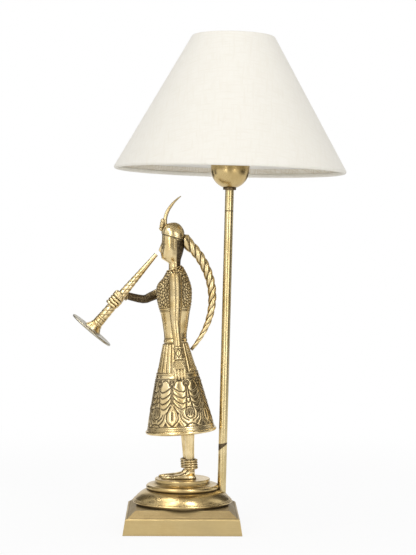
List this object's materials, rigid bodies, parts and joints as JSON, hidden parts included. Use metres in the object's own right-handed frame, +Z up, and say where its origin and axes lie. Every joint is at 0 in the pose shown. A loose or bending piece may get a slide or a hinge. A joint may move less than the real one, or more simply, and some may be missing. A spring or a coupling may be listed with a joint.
{
  "type": "table lamp",
  "caption": "Brass bedside lamp: a figure blowing a long trumpet on a round plinth and square foot, a straight pole behind it and a cone shade.",
  "frame": {"origin": "centre of the felt pad's underside, below the middle of the square foot", "axes": "+Z up; the figure faces -X, its left arm is on the -Y side; +Y is the rear, where the cord enters"},
  "size_m": [0.2977, 0.254, 0.5377],
  "materials": {
    "antique_brass": "antique polished",
    "cast_brass": "antique polished, chased",
    "grey_brass": "tarnished satin",
    "dark_brass": "dark patina",
    "plain_brass": "as turned",
    "steel": "zinc plated",
    "felt": "wool felt",
    "black_plastic": "moulded",
    "ceramic": "glazed ceramic",
    "white_wire": "white powder coat",
    "shade_fabric": "fine plain weave",
    "shade_lining": "matt lining film",
    "cotton_tape": "woven tape",
    "opal_glass": "opal",
    "nickel": "bright"
  },
  "bodies": {
    "lamp": {"square_base": "antique_brass", "round_plinth": "antique_brass", "pole_tube": "antique_brass", "neck_tube": "antique_brass", "holder_cup": "antique_brass", "left_foot": "cast_brass", "right_foot": "cast_brass", "left_leg": "cast_brass", "right_leg": "cast_brass", "anklets": "cast_brass", "skirt": "cast_brass", "belt": "cast_brass", "torso": "cast_brass", "neck_ring": "cast_brass", "head": "cast_brass", "cap": "cast_brass", "ears": "cast_brass", "head_ornament": "cast_brass", "plume": "cast_brass", "braid": "cast_brass", "left_arm": "cast_brass", "left_cuff": "cast_brass", "left_hand": "cast_brass", "right_arm": "cast_brass", "right_bracelet": "cast_brass", "right_hand": "cast_brass", "trumpet_tube": "cast_brass", "trumpet_bell": "grey_brass", "neck_collar": "dark_brass", "pole_sleeve": "plain_brass", "holder_nipple": "plain_brass", "leg_plate": "plain_brass", "screw_shell": "plain_brass", "centre_contact": "plain_brass", "bottom_plate": "steel", "plate_screws": "steel", "figure_studs": "steel", "figure_washers": "steel", "figure_nuts": "steel", "pole_washer": "steel", "pole_nut": "steel", "cup_nut": "steel", "leg_screws": "steel", "felt_pad": "felt", "cord_bush": "black_plastic", "holder_cap": "black_plastic", "holder_body": "black_plastic", "holder_insert": "ceramic"},
    "shade": {"shade_cover": "shade_fabric", "shade_liner": "shade_lining", "hem_strips": "cotton_tape", "top_wire": "white_wire", "bottom_wire": "white_wire", "shade_carrier": "white_wire"},
    "fixing_ring": {"shade_ring": "black_plastic"},
    "bulb": {"bulb_glass": "opal_glass", "bulb_cap": "nickel", "bulb_insulator": "black_plastic", "bulb_contact": "plain_brass"}
  },
  "joints": [
    {"name": "shade_turn", "type": "hinge", "parent": "lamp", "child": "shade", "pos_m": [0.0423, 0, 0], "axis": [0.0192, 0, 0.9998], "continuous": true},
    {"name": "ring_turn", "type": "hinge", "parent": "lamp", "child": "fixing_ring", "pos_m": [0.0423, 0, 0], "axis": [0.0192, 0, 0.9998], "range_deg": [0, 720]},
    {"name": "bulb_lift", "type": "slide", "parent": "lamp", "child": "bulb", "axis": [0.0192, 0, 0.9998], "range_m": [0, 0.135]}
  ]
}
